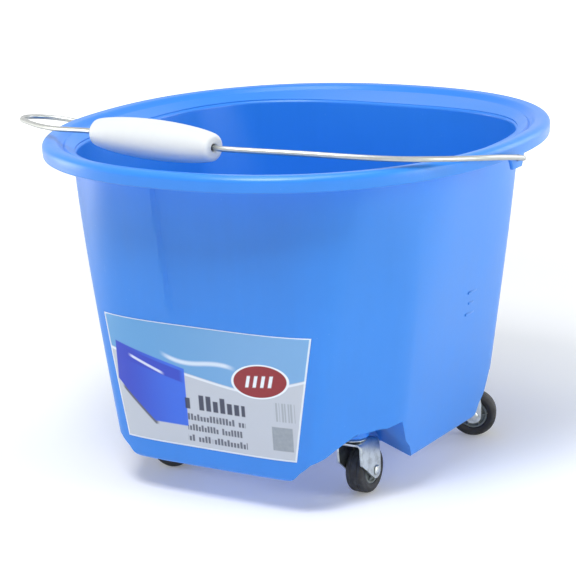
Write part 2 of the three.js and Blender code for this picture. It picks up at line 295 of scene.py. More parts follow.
def round_edges(obj: bpy.types.Object, radius: float, steps: int = 3, angle: float = 14.0) -> None:
    """Rounds every edge where two faces meet at more than this angle in degrees."""
    work = bmesh.new()
    work.from_mesh(obj.data)
    edges = [e for e in work.edges if len(e.link_faces) == 2 and e.calc_face_angle() > math.radians(angle)]
    bmesh.ops.bevel(work, geom=edges, offset=radius * MM, segments=steps, profile=0.5, affect="EDGES",
                    clamp_overlap=True)
    work.to_mesh(obj.data)
    work.free()


# ---- shader arithmetic -------------------------------------------------------------------------------

@dataclass(frozen=True)
class Signal:
    """A number, colour or vector leaving a node; arithmetic on a number adds Math nodes."""

    graph: "Graph"
    socket: bpy.types.NodeSocket

    def __add__(self, other: Number) -> "Signal":
        """self + other."""
        return self.graph.math("ADD", self, other)

    __radd__ = __add__

    def __sub__(self, other: Number) -> "Signal":
        """self - other."""
        return self.graph.math("SUBTRACT", self, other)

    def __rsub__(self, other: Number) -> "Signal":
        """other - self."""
        return self.graph.math("SUBTRACT", other, self)

    def __mul__(self, other: Number) -> "Signal":
        """self * other."""
        return self.graph.math("MULTIPLY", self, other)

    __rmul__ = __mul__

    def __truediv__(self, other: Number) -> "Signal":
        """self / other."""
        return self.graph.math("DIVIDE", self, other)

    def __pow__(self, other: Number) -> "Signal":
        """self to the power of other."""
        return self.graph.math("POWER", self, other)

    def __abs__(self) -> "Signal":
        """The size of self."""
        return self.graph.math("ABSOLUTE", self)

    def __mod__(self, other: Number) -> "Signal":
        """What is left of self after whole steps of other, never below zero."""
        return self.graph.math("FLOORED_MODULO", self, other)

    def floor(self) -> "Signal":
        """The whole number below self."""
        return self.graph.math("FLOOR", self)

    def sin(self) -> "Signal":
        """The sine of self in radians."""
        return self.graph.math("SINE", self)

    def least(self, other: Number) -> "Signal":
        """The lesser of self and other."""
        return self.graph.math("MINIMUM", self, other)

    def most(self, other: Number) -> "Signal":
        """The greater of self and other."""
        return self.graph.math("MAXIMUM", self, other)

    def rise(self, low: float, high: float) -> "Signal":
        """0 below low, 1 above high, smooth between them."""
        return self.graph.node(
            "ShaderNodeMapRange", {"interpolation_type": "SMOOTHSTEP"},
            {"Value": self, "From Min": low, "From Max": high},
        )

    def fall(self, low: float, high: float) -> "Signal":
        """1 below low, 0 above high, smooth between them."""
        return 1 - self.rise(low, high)

    def within(self, low: float, high: float, edge: float) -> "Signal":
        """1 between low and high, 0 outside, with soft edges this wide."""
        return self.rise(low - edge, low + edge) * self.fall(high - edge, high + edge)


class Graph:
    """The nodes of one material."""

    def __init__(self, name: str) -> None:
        """Makes the material with only its shader and its output."""
        self.material = bpy.data.materials.new(name)
        self.material.use_nodes = True
        self.tree = self.material.node_tree
        self.tree.nodes.clear()
        self.output = self.tree.nodes.new("ShaderNodeOutputMaterial")
        self.shader = self.tree.nodes.new("ShaderNodeBsdfPrincipled")
        self.tree.links.new(self.shader.outputs[0], self.output.inputs["Surface"])

    def feed(self, socket: bpy.types.NodeSocket, value: object) -> None:
        """Links a signal to a socket, or sets the socket's own number or colour."""
        if isinstance(value, Signal):
            self.tree.links.new(value.socket, socket)
        elif isinstance(value, tuple) and len(value) == 3 and len(socket.default_value) == 4:
            socket.default_value = (*value, 1.0)
        else:
            socket.default_value = value

    def node(self, kind: str, settings: dict[str, object], inputs: dict[str | int, object],
             out: str | int = 0) -> Signal:
        """Adds a node.

        Args:
            kind: the node's type.
            settings: its own properties, set first.
            inputs: numbers, colours or signals by socket name or number.
            out: the output to hand back.

        Returns:
            That output as a signal.
        """
        node = self.tree.nodes.new(kind)
        for key, value in settings.items():
            setattr(node, key, value)
        for key, value in inputs.items():
            self.feed(node.inputs[key], value)
        return Signal(self, node.outputs[out])

    def math(self, operation: str, *values: Number) -> Signal:
        """One Math node on one to three numbers."""
        return self.node("ShaderNodeMath", {"operation": operation}, dict(enumerate(values)))

    def mix(self, share: Number, first: object, second: object) -> Signal:
        """A colour between two colours."""
        return self.node("ShaderNodeMix", {"data_type": "RGBA"}, {0: share, 6: first, 7: second}, out=2)

    def scaled(self, colour: Colour, share: Number) -> Signal:
        """A colour made darker or lighter by a number."""
        return self.node("ShaderNodeVectorMath", {"operation": "SCALE"}, {0: colour, "Scale": share})

    def point(self) -> Signal:
        """The point on the object as a vector in metres."""
        return self.node("ShaderNodeTexCoord", {}, {}, out="Object")

    def place(self) -> tuple[Signal, Signal, Signal, Signal]:
        """The point on the object as a vector in metres, and its three parts in millimetres."""
        point = self.point()
        parts = [self.node("ShaderNodeSeparateXYZ", {}, {0: point}, out=k) * (1 / MM) for k in range(3)]
        return point, parts[0], parts[1], parts[2]

    def surface(self) -> tuple[Signal, Signal]:
        """The piece's own map: across and along, 0 to 1."""
        uv = self.node("ShaderNodeUVMap", {"uv_map": "surface"}, {})
        return (self.node("ShaderNodeSeparateXYZ", {}, {0: uv}, out=0),
                self.node("ShaderNodeSeparateXYZ", {}, {0: uv}, out=1))

    def noise(self, point: Signal, size: float, stretch: tuple[float, float, float] = (1, 1, 1),
              detail: float = 3.0, roughness: float = 0.5) -> Signal:
        """Cloudy noise, 0 to 1, with grains about size millimetres across."""
        scaled = self.node("ShaderNodeMapping", {}, {"Vector": point, "Scale": stretch})
        return self.node("ShaderNodeTexNoise", {}, {
            "Vector": scaled, "Scale": 1 / (size * MM), "Detail": detail, "Roughness": roughness,
        }, out="Fac")

    def cells(self, point: Signal, size: float) -> Signal:
        """Distance to the nearest of scattered points, 0 at each of them."""
        inputs = {"Vector": point, "Scale": 1 / (size * MM)}
        return self.node("ShaderNodeTexVoronoi", {}, inputs, out="Distance")

    def dress(self, base: object, roughness: object, height: Signal | None = None, depth: float = 0.1,
              **constants: object) -> bpy.types.Material:
        """Feeds the shader.

        Args:
            base: the base colour.
            roughness: the roughness.
            height: a height, 0 to 1, for the bump, or None.
            depth: how deep the bump is, in millimetres.
            **constants: other sockets of the shader, with spaces written as underscores.

        Returns:
            The finished material.
        """
        self.feed(self.shader.inputs["Base Color"], base)
        self.feed(self.shader.inputs["Roughness"], roughness)
        for key, value in constants.items():
            self.feed(self.shader.inputs[key.replace("_", " ")], value)
        if height is not None:
            relief = {"Height": height, "Distance": depth * MM, "Strength": 1.0}
            bump = self.node("ShaderNodeBump", {}, relief)
            self.feed(self.shader.inputs["Normal"], bump)
        return self.material


# ---- finishes ----------------------------------------------------------------------------------------

@dataclass(frozen=True)
class MouldedPlastic:
    """Glossy moulded polyethylene: draw streaks, cloudy gloss, fine scratches and a soft orange-peel skin."""

    name: str
    colour: Colour
    worn: Colour
    gloss: float = 0.3
    grain: float = 0.9
    scratches: float = 0.3

    def material(self) -> bpy.types.Material:
        """Builds the material."""
        g = Graph(self.name)
        point = g.point()
        clouds = g.noise(point, 45.0, detail=2.0)
        streaks = g.noise(point, 7.0, stretch=(1, 1, 0.06), detail=2.0)
        peel = g.noise(point, self.grain * 2.6, detail=1.0)
        scuffs = g.noise(point, 1.6, stretch=(1, 1, 0.12), detail=4.0, roughness=0.7)
        scratch = scuffs.rise(0.66, 0.74) * clouds.rise(0.42, 0.62) * self.scratches
        specks = g.cells(point, 9.0).fall(0.02, 0.06) * clouds.rise(0.4, 0.6)
        tone = 0.94 + 0.08 * clouds + 0.04 * streaks
        colour = g.mix(scratch * 0.5 + specks * 0.25, g.scaled(self.colour, tone), self.worn)
        roughness = self.gloss + 0.12 * clouds + 0.05 * streaks + 0.3 * scratch
        height = 0.55 * peel + 0.35 * streaks - 0.3 * scratch
        return g.dress(colour, roughness, height, depth=0.05, IOR=1.5, Specular_IOR_Level=0.5)


@dataclass(frozen=True)
class DrawnWire:
    """Bright plated wire: drawing lines along it, dull patches and a few dark pits."""

    name: str = "plated_wire"
    colour: Colour = srgb(176, 179, 178)
    dull: Colour = srgb(138, 138, 130)

    def material(self) -> bpy.types.Material:
        """Builds the material."""
        g = Graph(self.name)
        point = g.point()
        across, _ = g.surface()
        lines = (across * 190.0 + g.noise(point, 14.0) * 5.0).sin() * 0.5 + 0.5
        patches = g.noise(point, 9.0, detail=4.0)
        pits = g.cells(point, 3.0).fall(0.02, 0.07) * patches.rise(0.5, 0.7)
        colour = g.mix(patches.rise(0.45, 0.8) * 0.3 + pits * 0.3, self.colour, self.dull)
        roughness = 0.3 + 0.1 * patches + 0.15 * pits
        height = 0.3 * lines + 0.3 * patches - 0.2 * pits
        return g.dress(colour, roughness, height, depth=0.008, Metallic=1.0)


@dataclass(frozen=True)
class ZincPlate:
    """Bright zinc on pressed steel: soft crystals, handling marks and a darker film in patches."""

    name: str = "zinc_plate"
    colour: Colour = srgb(206, 212, 212)
    film: Colour = srgb(128, 134, 132)

    def material(self) -> bpy.types.Material:
        """Builds the material."""
        g = Graph(self.name)
        point = g.point()
        crystals = g.cells(point, 1.8)
        patches = g.noise(point, 7.0, detail=4.0)
        fine = g.noise(point, 0.5, detail=2.0)
        colour = g.mix(patches.rise(0.42, 0.75) * 0.6 + crystals * 0.15, self.colour, self.film)
        roughness = 0.2 + 0.18 * patches + 0.08 * fine
        return g.dress(colour, roughness, 0.5 * crystals + 0.3 * fine, depth=0.03, Metallic=0.95)


@dataclass(frozen=True)
class Rubber:
    """Black moulded tread: fine grain, and pale dust where it rolls on the floor."""

    name: str = "tread_rubber"
    colour: Colour = srgb(24, 25, 29)
    dust: Colour = srgb(96, 98, 102)
    rolling_radius: float = 19.0

    def material(self, centre: Vector) -> bpy.types.Material:
        """Builds the material for a wheel whose axle passes through centre, in millimetres."""
        g = Graph(self.name)
        point, x, y, z = g.place()
        reach = ((x - centre.x) ** 2.0 + (y - centre.y) ** 2.0 + (z - centre.z) ** 2.0) ** 0.5
        clouds = g.noise(point, 5.0, detail=4.0)
        grain = g.noise(point, 0.6, detail=2.0)
        worn = reach.rise(self.rolling_radius - 2.5, self.rolling_radius) * clouds.rise(0.35, 0.7)
        colour = g.mix(worn * 0.4, self.colour, self.dust)
        return g.dress(colour, 0.42 + 0.25 * clouds + 0.2 * worn, 0.6 * grain + 0.4 * clouds, depth=0.06)


@dataclass(frozen=True)
class PrintedSheet:
    """The printed sticker: pale blue sky over a grey panel, a picture of a tub, an oval and rows of bars.

    Everything is drawn from distances in millimetres across (X) and up (Z) on the flat sheet.
    """

    name: str = "printed_sheet"
    half_width: float = 94.0
    bottom: float = 17.0
    top: float = 116.0
    sky: Colour = srgb(88, 155, 212)
    panel: Colour = srgb(188, 195, 207)
    edge: Colour = srgb(232, 240, 250)
    tub: Colour = srgb(32, 98, 222)
    tub_mouth: Colour = srgb(14, 52, 190)
    ink: Colour = srgb(24, 34, 66)
    grey_ink: Colour = srgb(132, 142, 152)
    red: Colour = srgb(138, 6, 26)
    swoosh_low: tuple[float, float] = (36.0, 70.5)
    oval: tuple[float, float] = (50.6, 78.7)
    oval_half: tuple[float, float] = (22.8, 12.6)

    def bars(self, g: Graph, x: Signal, z: Signal, span: tuple[float, float], low: float, high: float,
             letter: float) -> Signal:
        """A row of plain blocks, this far apart, as greeked type between two heights."""
        column = (x / letter).floor()
        jitter = g.node("ShaderNodeTexWhiteNoise", {"noise_dimensions": "1D"}, {"W": column + low * 7.3})
        block = (x % letter).within(letter * 0.12, letter * 0.82, letter * 0.08)
        shown = jitter.rise(0.08, 0.1)
        tall = (z - (low + (high - low) * 0.72)).fall(-0.3, 0.3).most(jitter.rise(0.55, 0.6))
        return block * shown * tall * z.within(low, high, 0.5) * x.within(span[0], span[1], 0.4)

    def material(self) -> bpy.types.Material:
        """Builds the material."""
        g = Graph(self.name)
        point = g.point()
        across, up = g.surface()
        x = (across - 0.5) * (2 * self.half_width)
        z = self.bottom + up * (self.top - self.bottom)
        mottle = g.noise(point, 3.0, detail=4.0)
        from_low = x - self.swoosh_low[0]
        dip = (from_low * from_low + 150.0) ** 0.5 - 12.0
        swoosh = self.swoosh_low[1] + dip * (0.17 + 0.13 * from_low.rise(-6.0, 6.0))
        air = g.mix(x.rise(-80.0, 80.0) * 0.1, self.sky, self.edge)
        paper = g.mix((z - swoosh).rise(-0.7, 0.7), self.panel, air)
        paper = g.mix((z - swoosh).within(-2.2, -0.4, 0.5) * 0.7, paper, self.edge)
        swirl = (z - swoosh - 12.0 - (x * 0.07).sin() * 4.0).within(-1.6, 1.6, 1.2)
        swirl = swirl * x.within(-34.0, 26.0, 6.0)
        paper = g.mix(swirl * 0.75, paper, self.edge)

        rim = z - 80.0 + (x + 14.0) * 0.22
        foot = z - 34.0 + (x + 48.0).least(0.0) * 0.85
        body = rim.fall(-0.6, 0.6) * foot.rise(-0.6, 0.6) * x.within(-83.0, -17.0, 0.5)
        mouth = rim.within(-12.0, -2.5, 0.7) * x.within(-74.0, -20.0, 3.0)
        bail = (rim + 9.0 + (x + 50.0) * 0.12).within(-1.1, 1.1, 0.6) * x.within(-68.0, -38.0, 3.0)
        shadow = (foot - 1.0).within(-3.6, 0.2, 0.8) * x.within(-78.0, -46.0, 2.0)
        paper = g.mix(shadow * 0.85, paper, self.ink)
        paper = g.mix(body, paper, g.mix(x.rise(-80.0, -21.0), self.tub_mouth, self.tub))
        paper = g.mix(mouth * 0.9, paper, self.tub_mouth)
        paper = g.mix(bail * 0.8, paper, self.edge)

        title = self.bars(g, x, z, (-18.5, 36.0), 48.6, 60.8, 6.4)
        small = self.bars(g, x, z, (-17.0, 35.5), 39.5, 44.8, 2.9)
        small = small.most(self.bars(g, x, z, (-17.5, 32.0), 31.0, 36.2, 2.7))
        small = small.most(self.bars(g, x, z, (-18.0, 36.0), 22.2, 27.5, 2.9))
        paper = g.mix(title * 0.95, paper, self.ink)
        paper = g.mix(small * 0.8, paper, self.ink)

        stripes = ((x * 2.6).sin() + (x * 1.1 + 1.0).sin() * 0.8).rise(-0.3, 0.3)
        code = stripes * x.within(61.5, 79.0, 0.3) * z.within(48.5, 63.5, 0.4)
        block = x.within(58.5, 75.5, 0.4) * z.within(25.0, 44.0, 0.4)
        paper = g.mix(code * 0.55 + block * (0.6 + 0.4 * mottle), paper, self.grey_ink)

        dx = (x - self.oval[0]) / self.oval_half[0]
        dz = (z - self.oval[1] - (x - self.oval[0]) * 0.09) / self.oval_half[1]
        reach = (dx * dx + dz * dz) ** 0.5
        paper = g.mix(reach.fall(1.07, 1.11), paper, self.edge)
        paper = g.mix(reach.fall(0.985, 1.015), paper, g.scaled(self.red, 0.85 + 0.3 * mottle))
        lean = x - self.oval[0] - (z - self.oval[1]) * 0.25
        marks = (lean % 6.4).within(1.4, 4.2, 0.4) * lean.within(-12.6, 12.6, 0.4)
        marks = marks * dz.within(-0.36, 0.36, 0.05)
        paper = g.mix(marks, paper, self.edge)

        side = abs(x) - (77.0 + (z - self.bottom) * 0.1717)
        border = 1 - side.fall(-1.6, -1.0) * z.within(self.bottom + 1.4, self.top - 0.7, 0.3)
        paper = g.mix(border * 0.8, paper, self.edge)
        creases = g.noise(point, 30.0, stretch=(1, 1, 0.3), detail=2.0)
        return g.dress(paper, 0.3 + 0.12 * mottle, 0.6 * creases + 0.1 * mottle, depth=0.12,
                       Coat_Weight=0.25, Coat_Roughness=0.12)


BLUE = MouldedPlastic("blue_moulding", srgb(43, 131, 227), srgb(140, 190, 244), gloss=0.25)
WHITE = MouldedPlastic("white_moulding", srgb(212, 215, 217), srgb(196, 194, 188), gloss=0.36, grain=0.7)
HUB = MouldedPlastic("hub_moulding", srgb(104, 112, 114), srgb(150, 156, 156), gloss=0.42, grain=0.5)


# ---- the tub -----------------------------------------------------------------------------------------

@dataclass(frozen=True)
class Oval:
    """A superellipse: half width, half depth and power."""

    x: float
    y: float
    power: float


@dataclass
class Tub:
    """The moulded tub: wall with corner facets, rolled rim and skirt, notches, bosses and pivot ears."""

    wall: float = 3.0
    base: Oval = Oval(126.2, 146.0, 4.7)
    shoulder: Oval = Oval(162.8, 160.3, 2.92)
    shoulder_z: float = 231.0
    floor_z: float = 3.5
    heel: float = 4.0
    rim_power: float = 2.22
    skirt_bottom: float = 232.5
    skirt_thickness: float = 3.0
    bead_width: float = 15.0
    groove_depth: float = 4.5
    web_underside: float = 239.0
    ledge_bottom: float = 235.0
    facet_angle: float = math.radians(30.7)
    facet_base: float = 146.3
    facet_shoulder: float = 179.1
    facet_round: float = 4.0
    notch_profile: tuple = (
        (-88, -1, -1), (-77, 11, 15), (-54.5, 24, 25), (-25, 24, 33), (2, 24, 36), (14, 10, 11),
        (19, -1, -1))
    notch_inner: float = 87.5
    notch_facet: float = 150.0
    notch_outer: float = 210.0
    stem_at: tuple[float, float] = (93.0, 85.0)
    socket_radius: float = 8.5
    socket_top: float = 45.0
    stem_hole: tuple[float, float] = (4.35, 41.35)
    pad_radius: float = 11.5
    pad_bottom: float = 23.2
    pivot_z: float = 231.5
    pivot_hole: float = 2.8
    ear_width: float = 26.0
    ear_bottom: float = 223.5
    ear_thickness: float = 3.0
    arris_height: float = 1.7
    panel_depth: float = 1.3
    columns: int = 480
    body: str = "bucket"
    rim_half: tuple[float, float] = field(init=False)
    rim_top: float = field(init=False)

    def __post_init__(self) -> None:
        """Takes the rim's width, depth and height from the CAD tub."""
        _, high = box_mm("bucket_body")
        self.rim_half = (float(high[0]), float(high[1]))
        self.rim_top = float(high[2])

    @property
    def angle(self) -> Array:
        """Angles round the tub, (1, columns)."""
        return (TAU * (np.arange(self.columns) + 0.5) / self.columns)[None, :]

    @staticmethod
    def oval_radius(angle: Array, x: Array, y: Array, power: Array) -> Array:
        """Radius of a superellipse: (|cos/x|^p + |sin/y|^p)^(-1/p)."""
        return (np.abs(np.cos(angle) / x) ** power + np.abs(np.sin(angle) / y) ** power) ** (-1 / power)

    def plain_wall(self, angle: Array, z: Array) -> Array:
        """The wall's radius: a superellipse that opens with height, cut by a flat facet at each corner."""
        k = z / self.shoulder_z
        oval = self.oval_radius(
            angle,
            self.base.x + (self.shoulder.x - self.base.x) * k,
            self.base.y + (self.shoulder.y - self.base.y) * k,
            self.base.power + (self.shoulder.power - self.base.power) * k,
        )
        turn = np.arctan2(np.abs(np.sin(angle)), np.abs(np.cos(angle))) - self.facet_angle
        facet = (self.facet_base + (self.facet_shoulder - self.facet_base) * k) / np.cos(turn)
        return soft_min(oval, facet, self.facet_round)

    def relief(self, angle: Array, z: Array, radius: Array) -> Array:
        """Height of the front wall's moulded fold: it swells to a crisp arris, then drops to a shallow panel.

        The fold's soft start and its arris are two straight lines that lean outwards with height. The panel
        to the right of the arris comes back to the wall before the corner facet, and the fold fades out
        downwards.
        """
        x = radius * np.cos(angle)
        arris = -24.8 - (z - 111.0) * 0.075
        start = -58.7 - (z - 115.0) * 0.084
        front = (np.sin(angle) < 0) * smooth(118.0, 132.0, z) * (1 - smooth(222.0, 231.0, z))
        swell = self.arris_height * np.clip((x - start) / (arris - start), 0.0, 1.0) * (x > start - 8.0)
        drop = smooth(-0.2, 2.4, x - arris)
        panel = -self.panel_depth * (1 - smooth(20.0, 95.0, x))
        return front * (swell * (1 - drop) + panel * drop)

    def wall_rows(self, z: Array, inset: Array | float, outside: bool) -> Array:
        """Rows of wall points at these heights, moved in by inset."""
        z = np.asarray(z, dtype=float)[:, None]
        inset = np.broadcast_to(np.asarray(inset, dtype=float).reshape(-1, 1), z.shape)
        radius = self.plain_wall(self.angle, z)
        if outside:
            radius = radius + self.relief(self.angle, z, radius)
        return self.rows(radius - inset, z)

    def rows(self, radius: Array, z: Array) -> Array:
        """Points from radius (rows, columns) and height (rows, 1)."""
        z = np.broadcast_to(z, radius.shape)
        return np.stack([radius * np.cos(self.angle), radius * np.sin(self.angle), z], axis=-1)

    def rim_radius(self, inset: Array) -> Array:
        """The rim's radius, moved in by inset (rows, 1)."""
        return self.oval_radius(self.angle, self.rim_half[0] - inset, self.rim_half[1] - inset,
                                np.asarray(self.rim_power))

    def rim_rows(self, profile: Array) -> Array:
        """Rows from a rim profile of (inset, height) points."""
        return self.rows(self.rim_radius(profile[:, :1]), profile[:, 1:])

    def between(self, first: Array, last: Array, count: int, sag: float = 0.0) -> Array:
        """Rows between two rows, in straight lines, lowered by sag half way; the two ends are left out."""
        k = (np.arange(1, count + 1) / (count + 1))[:, None, None]
        rows = first + (last - first) * k
        rows[..., 2] -= sag * np.sin(np.pi * k[..., 0])
        return rows

    def outside(self) -> bpy.types.Object:
        """The outer skin: from the underside up the wall, round the skirt and bead, across the ledge."""
        heel = arc((self.heel, self.heel), self.heel, 270, 180, 7)
        inset, height = heel[:, 0], heel[:, 1]
        wall = self.wall_rows(np.linspace(self.heel + 3, self.shoulder_z - 2, 76), 0.0, True)
        lip = self.skirt_thickness / 2 - 0.2
        top = self.rim_top
        t = np.linspace(0, np.pi / 2, 10)
        bead = np.stack([5.5 - 5.5 * np.cos(t), top - 5 + 5 * np.sin(t)], axis=1)
        k = np.linspace(0.1, 1, 9)
        fall = 0.55 * smooth(0, 0.5, k)
        dip = np.stack([5.5 + (self.bead_width - 4.5) * k,
                        top - fall - (self.groove_depth + 0.5) * smooth(0.45, 1.0, k)], axis=1)
        skirt = np.vstack([
            densify([[self.skirt_thickness, self.web_underside],
                     [self.skirt_thickness, self.skirt_bottom + lip]], 2.0),
            arc((self.skirt_thickness / 2 + 0.2, self.skirt_bottom + lip), lip, 350, 190, 6),
            [[0.4, self.skirt_bottom + 1.6], [0.2, self.skirt_bottom + 4]],
        ])
        rim = self.rim_rows(np.vstack([skirt, bead, dip]))
        inner = self.wall_rows([self.ledge_bottom], self.wall, False)
        groove_out = self.rim_rows(np.array([[self.bead_width + 1.8, top - self.groove_depth - 0.3],
                                             [self.bead_width + 2.8, top - self.groove_depth + 0.25]]))
        return skin("tub_outside", np.vstack([
            self.wall_rows(height, inset, True), wall, self.wall_rows([self.shoulder_z], 0.0, True),
            self.between(self.wall_rows([self.shoulder_z], 0.0, True)[0], rim[0], 6, -0.8),
            rim, groove_out, self.between(groove_out[-1], inner[0], 9), inner,
        ]), Ends.FANS)

    def cavity(self) -> bpy.types.Object:
        """The hollow, with a rounded heel and a rounded top edge that runs out over the ledge."""
        heel = arc((self.heel + self.wall, self.floor_z + self.heel), self.heel, 270, 180, 7)
        heights = np.linspace(self.floor_z + self.heel + 3, self.ledge_bottom - 3, 60)
        wall = self.wall_rows(heights, self.wall, False)
        edge = arc((self.wall - 2.6, self.ledge_bottom - 2.4), 2.6, 0, 62, 5)
        flare = self.wall_rows(edge[:, 1], edge[:, 0], False)
        above = flare[-1:] + np.array([0.0, 0.0, 14.0])
        foot = self.wall_rows(heel[:, 1], heel[:, 0], False)
        return skin("tub_cavity", np.vstack([foot, wall, flare, above]), Ends.FANS)

    @staticmethod
    def corner(side: tuple[int, int]) -> Matrix:
        """Turns a shape made for the right rear corner onto the corner with these signs."""
        return Matrix.Diagonal((side[0], side[1], 1, 1))

    def notch(self, side: tuple[int, int], grow: float) -> bpy.types.Object:
        """The tapered block that clears a caster, grown by a wall's thickness where it shapes the inside.

        Two rings of points across the facet, one at the back and one outside the tub; each corner's height
        runs in a straight line from its height at the back to its height at the facet, and on outwards.
        """
        across, back, front = np.array(self.notch_profile, dtype=float).T
        across = across + np.sign(across - across[3]) * grow
        reach = np.array([self.notch_inner - grow, self.notch_outer])[:, None]
        share = (reach - self.notch_inner) / (self.notch_facet - self.notch_inner)
        height = back + (front - back) * share + np.where(back > 0, grow, -grow)
        rows = np.stack([np.broadcast_to(-across, height.shape), height,
                         np.broadcast_to(reach, height.shape)], axis=-1)
        tool = skin("notch", rows, Ends.FANS)
        round_edges(tool, 1.2)
        if grow == 0.0:
            pad = np.array([[0.01, self.pad_bottom], [self.pad_radius, self.pad_bottom],
                            [self.pad_radius + 1.5, 60.0], [0.01, 60.0]])
            turn = (Matrix.Rotation(-math.pi / 2, 4, "X")
                    @ Matrix.Rotation(-math.pi / 2 - self.facet_angle, 4, "Z"))
            at = Matrix.Translation((self.stem_at[0] * MM, self.stem_at[1] * MM, 0))
            combine(tool, place(turned("pad", pad, 48, joined=False), turn @ at), Cut.TAKE)
        move = Matrix.Rotation(math.pi / 2 + self.facet_angle, 4, "Z") @ Matrix.Rotation(math.pi / 2, 4, "X")
        place(tool, self.corner(side) @ move)
        if side[0] * side[1] < 0:
            tool.data.flip_normals()
        return tool

    def post(self, side: tuple[int, int], radius: float, top: float, dome: float) -> bpy.types.Object:
        """A round boss or hole at a stem, with a domed or chamfered top."""
        profile = np.vstack([[[0.01, 1.0]], densify([[radius, 1.0], [radius, top - dome]], 6.0),
                             arc((radius - dome, top - dome), dome, 15, 90, 5), [[0.01, top]]])
        tool = turned("post", profile, 48, joined=False)
        x, y = self.stem_at
        return place(tool, Matrix.Translation((side[0] * x * MM, side[1] * y * MM, 0)))

    def ear(self, side: int) -> bpy.types.Object:
        """The rounded tab under the skirt at one end of the bail's axis."""
        half = self.ear_width / 2
        top = self.skirt_bottom + 3
        foot = half * 0.6
        outline = np.array([[-half, top], [-foot, self.ear_bottom], [foot, self.ear_bottom], [half, top]])
        tab = prism("ear", outline, self.ear_thickness, bevel=0.9)
        at = side * (self.rim_half[0] - self.ear_thickness / 2 - 0.4) * MM
        return place(tab, Matrix.Translation((at, 0, 0)) @ Matrix.Rotation(math.pi / 2, 4, "Z")
                     @ Matrix.Rotation(math.pi / 2, 4, "X"))

    def pivot(self, side: int) -> bpy.types.Object:
        """The round hole for one end of the bail."""
        profile = np.array([[0.01, -8.0], [self.pivot_hole, -8.0], [self.pivot_hole, 8.0], [0.01, 8.0]])
        hole = turned("pivot", profile, 32, joined=False)
        at = Vector((side * (self.rim_half[0] - 2), 0, self.pivot_z)) * MM
        return place(hole, Matrix.Translation(at) @ Matrix.Rotation(math.pi / 2, 4, "Y"))

    def marks(self) -> Iterable[bpy.types.Object]:
        """Three plain raised ticks on the right-hand end wall."""
        angle = 0.115
        for z, length in ((118.0, 15.0), (109.0, 9.0), (100.0, 15.0)):
            half = length / 2
            outline = np.array([[-half, -0.9], [half, -0.9], [half, 0.9], [-half, 0.9]])
            bar = prism("tick", outline, 1.6, bevel=0.4)
            radius = float(self.plain_wall(np.array([[angle]]), np.array([[z]]))[0, 0])
            at = Vector((radius * math.cos(angle) - 0.25, radius * math.sin(angle), z)) * MM
            yield place(bar, Matrix.Translation(at) @ Matrix.Rotation(math.radians(93.0), 4, "Z")
                        @ Matrix.Rotation(math.radians(83.5), 4, "X"))

    def build(self, sides: Sequence[tuple[int, int]]) -> bpy.types.Object:
        """Cuts the hollow, notches, stem holes and pivot holes, and dresses the tub."""
        body = self.outside()
        hollow = self.cavity()
        for side in (1, -1):
            combine(body, self.ear(side), Cut.ADD)
        for bar in self.marks():
            combine(body, bar, Cut.ADD)
        for side in sides:
            combine(hollow, self.notch(side, self.wall), Cut.TAKE)
            combine(hollow, self.post(side, self.socket_radius, self.socket_top, 2.5), Cut.TAKE)
        combine(body, hollow, Cut.TAKE)
        radius, top = self.stem_hole
        for side in sides:
            combine(body, self.notch(side, 0.0), Cut.TAKE)
            combine(body, self.post(side, radius, top, 0.6), Cut.TAKE)
        for side in (1, -1):
            combine(body, self.pivot(side), Cut.TAKE)
        body.name = body.data.name = "tub_shell"
        shade_smooth(body, 34.0)
        return finish_piece(body, self.body, "blue_plastic", BLUE.material(), "bucket_body")


def finish_piece(obj: bpy.types.Object, body: str, slot: str, material: bpy.types.Material,
                 *nodes: str) -> bpy.types.Object:
    """Gives a piece its material and the body it rides on, and hides the CAD nodes it stands for."""
    obj.data.materials.clear()
    obj.data.materials.append(material)
    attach(obj, body)
    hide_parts(*nodes)
    return obj


# ---- the label ---------------------------------------------------------------------------------------

@dataclass
class Label:
    """The sticker on the front panel, between its two facets."""

    tub: Tub
    bottom: float = 17.0
    top: float = 116.0
    half_bottom: float = 77.0
    half_top: float = 94.0
    gap: float = 0.12
    thickness: float = 0.22
    rows: int = 48
    columns: int = 90

    def build(self) -> bpy.types.Object:
        """The sheet: each row runs along the wall between two angles, just off it, mapped in flat sizes."""
        k = np.linspace(0, 1, self.rows)
        z = (self.bottom + (self.top - self.bottom) * k)[:, None]
        half = self.half_bottom + (self.half_top - self.half_bottom) * k
        fine = np.radians(np.linspace(-150, -30, 1200))[None, :]
        wall_x = self.tub.plain_wall(fine, z) * np.cos(fine)
        ends = np.array([np.interp([-h, h], row, fine[0]) for h, row in zip(half, wall_x)])
        share = np.linspace(0, 1, self.columns)[None, :]
        angle = ends[:, :1] + (ends[:, 1:] - ends[:, :1]) * share
        radius = self.tub.plain_wall(angle, z) + self.gap
        flat_x = radius * np.cos(angle)
        sheet = np.stack([flat_x, radius * np.sin(angle), np.broadcast_to(z, radius.shape)], axis=-1)
        obj = skin("label_sheet", sheet, Ends.OPEN, round_columns=False)
        u = flat_x / (2 * self.half_top) + 0.5
        v = np.broadcast_to(k[:, None], u.shape)
        flat = np.stack([u, v], axis=-1).reshape(-1, 2)
        corners = np.empty(len(obj.data.loops), dtype=np.int32)
        obj.data.loops.foreach_get("vertex_index", corners)
        obj.data.uv_layers["surface"].data.foreach_set("uv", flat[corners].astype(np.float32).ravel())
        wall = obj.modifiers.new("thickness", "SOLIDIFY")
        wall.thickness, wall.offset = self.thickness * MM, 1.0
        shade_smooth(obj, 40.0)
        return finish_piece(obj, self.tub.body, "printed_label", PrintedSheet().material(), "product_label")


# ---- bail and grip -----------------------------------------------------------------------------------

